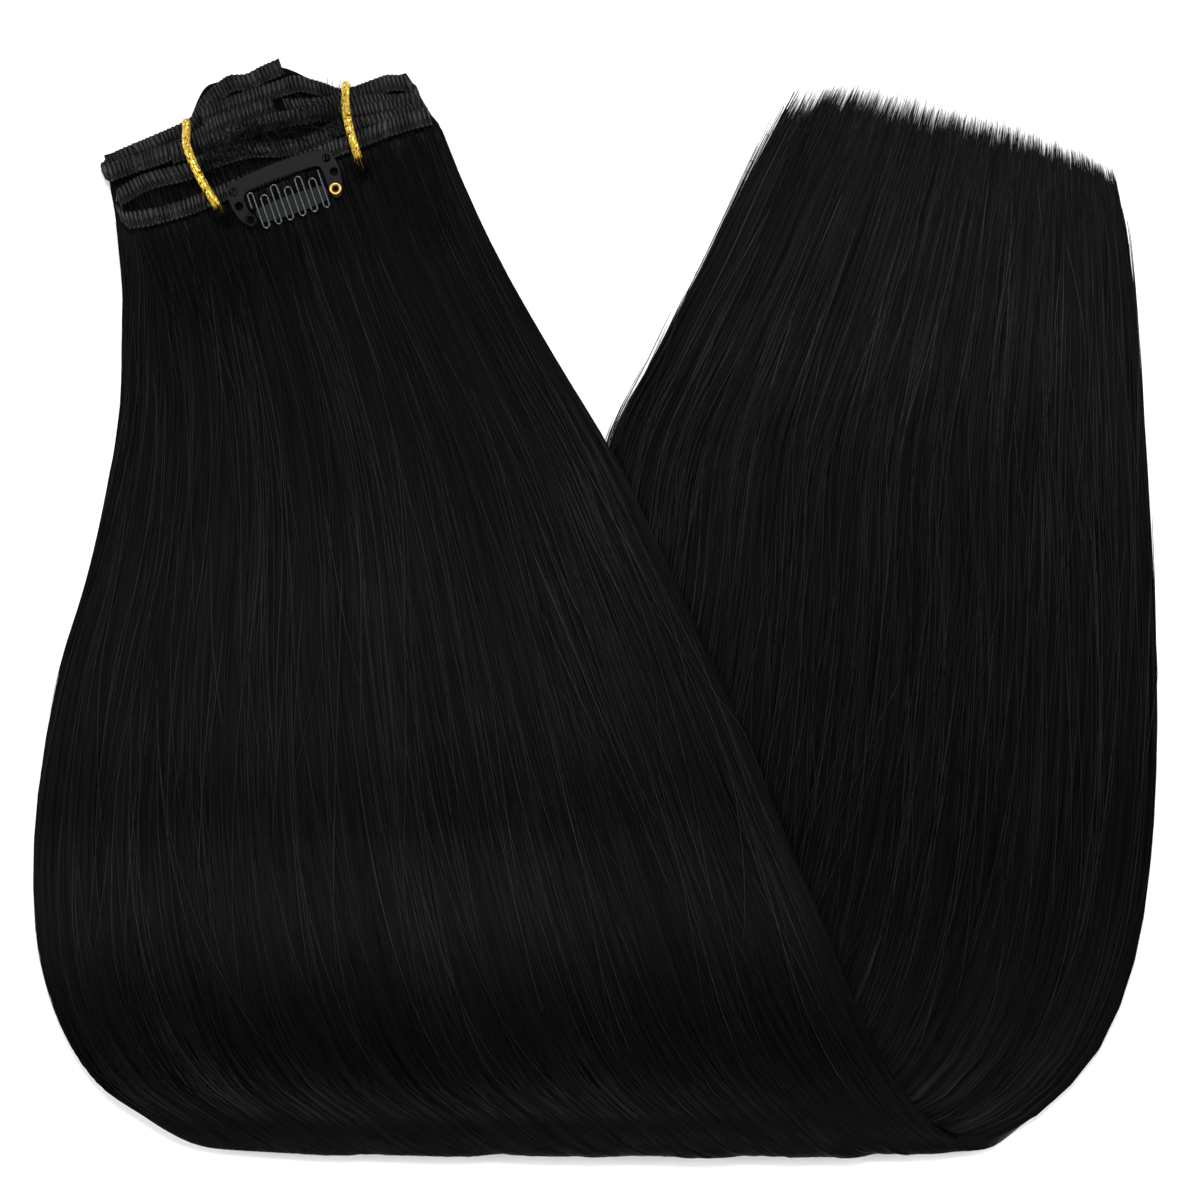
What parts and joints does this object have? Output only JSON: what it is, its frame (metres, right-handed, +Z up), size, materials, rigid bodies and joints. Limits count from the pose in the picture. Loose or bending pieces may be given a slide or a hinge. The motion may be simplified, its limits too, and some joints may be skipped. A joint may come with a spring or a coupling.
{
  "type": "clip in hair extension",
  "caption": "Long straight hair folded once, its stitched wefts held in a stack by elastic ties, with a snap comb clip on top",
  "frame": {"origin": "middle of the bounding box's base, on the floor that the hair lies on", "axes": "+Z up out of the floor, +Y the way the wefts and the loose tips point, +X from the wefts toward the loose tips"},
  "size_m": [0.31, 0.303, 0.0172],
  "materials": {
    "hair": "soft sheen along the strands",
    "weft": "stitched, matt",
    "tie": "glittering tinsel yarn",
    "lacquer": "satin",
    "brass": "polished"
  },
  "bodies": {
    "bundle": {"hair_fall": "hair", "weft_back": "weft", "weft_second": "weft", "weft_middle": "weft", "weft_front": "weft", "tie_left": "tie", "tie_right": "tie", "clip_plate": "lacquer", "eyelet_right": "brass", "eyelet_left": "lacquer"},
    "comb": {"comb_leaf": "lacquer", "comb_wire": "lacquer"}
  },
  "joints": [
    {"name": "comb_snap", "type": "hinge", "parent": "bundle", "child": "comb", "pos_m": [-0.08321, 0.11081, 0.01398], "axis": [0.9382, 0.3461, 0], "range_deg": [0, 30]}
  ]
}
